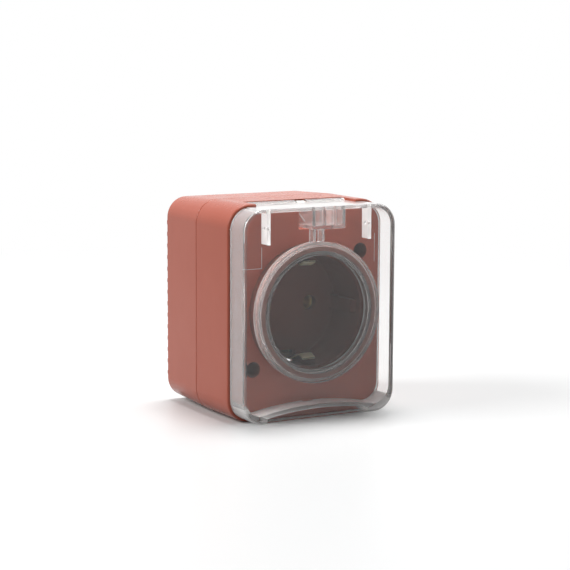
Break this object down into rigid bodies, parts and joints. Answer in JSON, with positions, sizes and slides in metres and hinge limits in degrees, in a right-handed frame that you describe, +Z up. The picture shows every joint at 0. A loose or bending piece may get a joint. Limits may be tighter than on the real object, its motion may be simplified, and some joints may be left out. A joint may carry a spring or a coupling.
{
  "type": "outdoor socket",
  "caption": "Surface-mounted outdoor power socket: two-part box, round plug well with side earth clips, clear spring-closed lid hinged at the top.",
  "frame": {"origin": "centre of the four wall-fixing holes, on the wall plane", "axes": "+X to the right seen from the front, +Z up, +Y into the wall; the lid faces -Y"},
  "size_m": [0.0634, 0.0595, 0.0768],
  "materials": {
    "housing_plastic": "terracotta thermoplastic with a fine satin grain",
    "clear_lid": "clear glossy plastic, lightly frosted on the inner face of its front",
    "seal_rubber": "soft matt brown seal",
    "grommet_rubber": "matt rubber",
    "carrier_plastic": "dark moulded thermoset",
    "brass": "bare brass",
    "plated_brass": "pale plated strip",
    "steel": "zinc-plated steel"
  },
  "bodies": {
    "housing": {"rear_housing": "housing_plastic", "cable_grommet": "grommet_rubber", "housing_seal": "seal_rubber", "contact_carrier": "carrier_plastic", "neutral_contact": "brass", "live_contact": "brass", "neutral_terminal": "brass", "live_terminal": "brass", "earth_terminal": "brass", "neutral_terminal_screw": "steel", "live_terminal_screw": "steel", "earth_terminal_screw": "steel", "carrier_screw_left": "steel", "carrier_screw_right": "steel", "earth_strip": "plated_brass", "well_insert": "housing_plastic", "front_housing": "housing_plastic", "cover_screw_upper": "steel", "cover_screw_lower": "steel", "hinge_pin": "steel", "lid_spring": "steel"},
    "lid": {"lid": "clear_lid", "lid_seal": "seal_rubber"}
  },
  "joints": [
    {"name": "lid_hinge", "type": "hinge", "parent": "housing", "child": "lid", "pos_m": [0, -0.0412, 0.0367], "axis": [-1, 0, 0], "range_deg": [0, 110], "stiffness_Nm_per_rad": 0.02, "springref_deg": -34.38, "deforming": ["lid_spring"]}
  ]
}
